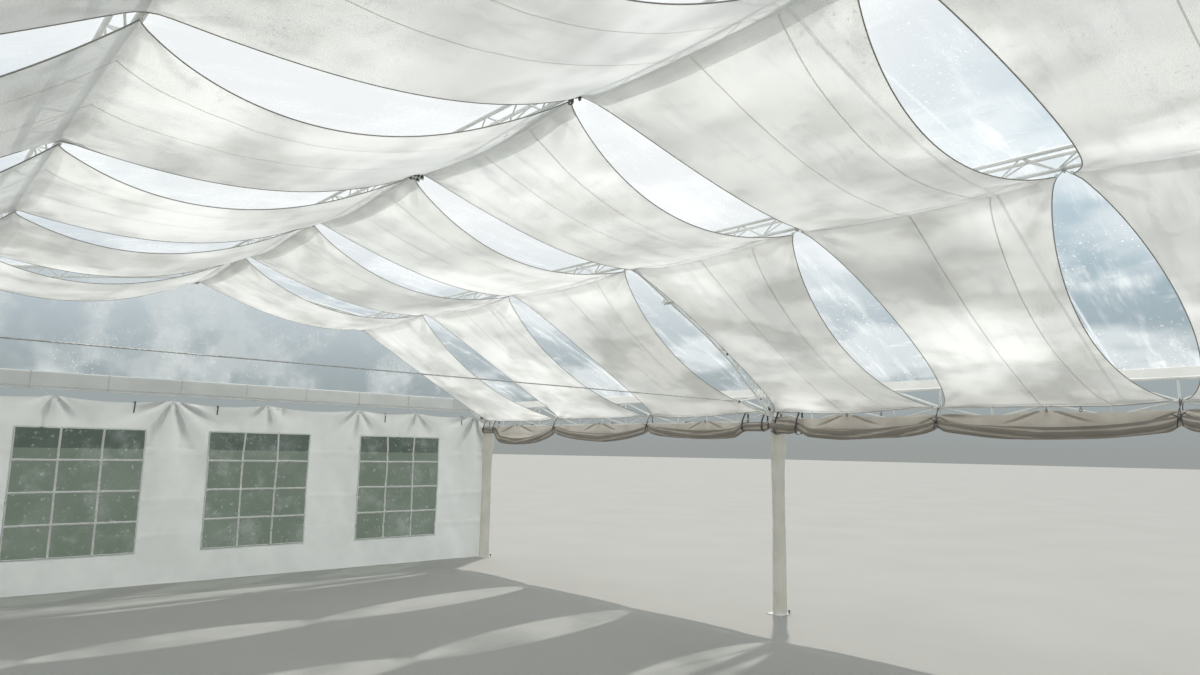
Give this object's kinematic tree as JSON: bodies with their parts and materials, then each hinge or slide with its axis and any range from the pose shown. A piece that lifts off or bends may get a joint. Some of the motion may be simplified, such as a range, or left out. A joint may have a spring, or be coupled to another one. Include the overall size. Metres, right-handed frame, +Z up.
{
  "type": "frame marquee with a clear roof and draped lining",
  "caption": "Gable-roofed frame marquee: white lattice steel frame, clear roof, swagged white lining drapes, windowed gable walls and open sides with tied-up curtains.",
  "frame": {"origin": "on the ground under the middle of the tent", "axes": "+X across the span to the right side, +Y along the ridge to the far gable, +Z up"},
  "size_m": [10.366, 12.8, 4.3574],
  "materials": {
    "frame_steel": "white paint, satin, a little dull",
    "cable_steel": "galvanised wire rope",
    "clear_vinyl": "clear soft sheet, slightly wrinkled",
    "beam_cover": "white coated fabric band",
    "wall_vinyl": "white coated fabric, creased",
    "sleeve_cloth": "white cloth",
    "lining_fabric": "thin warm white cloth, translucent",
    "curtain_fabric": "taupe white cloth, bunched"
  },
  "bodies": {
    "root": {"leg_left_near": "frame_steel", "leg_sleeve_left_near": "sleeve_cloth", "rafter_left_near": "frame_steel", "leg_left_middle": "frame_steel", "leg_sleeve_left_middle": "sleeve_cloth", "rafter_left_middle": "frame_steel", "leg_left_far": "frame_steel", "leg_sleeve_left_far": "sleeve_cloth", "rafter_left_far": "frame_steel", "leg_right_near": "frame_steel", "leg_sleeve_right_near": "sleeve_cloth", "rafter_right_near": "frame_steel", "leg_right_middle": "frame_steel", "leg_sleeve_right_middle": "sleeve_cloth", "rafter_right_middle": "frame_steel", "leg_right_far": "frame_steel", "leg_sleeve_right_far": "sleeve_cloth", "rafter_right_far": "frame_steel", "purlin_left_near": "frame_steel", "ridge_purlin_near": "frame_steel", "purlin_right_near": "frame_steel", "eave_lattice_left_near": "frame_steel", "side_curtain_left_near": "curtain_fabric", "eave_lattice_right_near": "frame_steel", "side_curtain_right_near": "curtain_fabric", "clear_roof_near": "clear_vinyl", "purlin_left_far": "frame_steel", "ridge_purlin_far": "frame_steel", "purlin_right_far": "frame_steel", "eave_lattice_left_far": "frame_steel", "side_curtain_left_far": "curtain_fabric", "eave_lattice_right_far": "frame_steel", "side_curtain_right_far": "curtain_fabric", "clear_roof_far": "clear_vinyl", "gable_beam_near": "beam_cover", "clear_gable_near": "clear_vinyl", "gable_wall_near": "wall_vinyl", "window_sheet_near": "clear_vinyl", "gable_beam_far": "beam_cover", "clear_gable_far": "clear_vinyl", "gable_wall_far": "wall_vinyl", "window_sheet_far": "clear_vinyl", "tie_cable_middle": "cable_steel", "lining_drape_1": "lining_fabric", "lining_drape_2": "lining_fabric", "lining_drape_3": "lining_fabric", "lining_drape_4": "lining_fabric", "lining_drape_5": "lining_fabric", "lining_drape_6": "lining_fabric"}
  },
  "joints": []
}
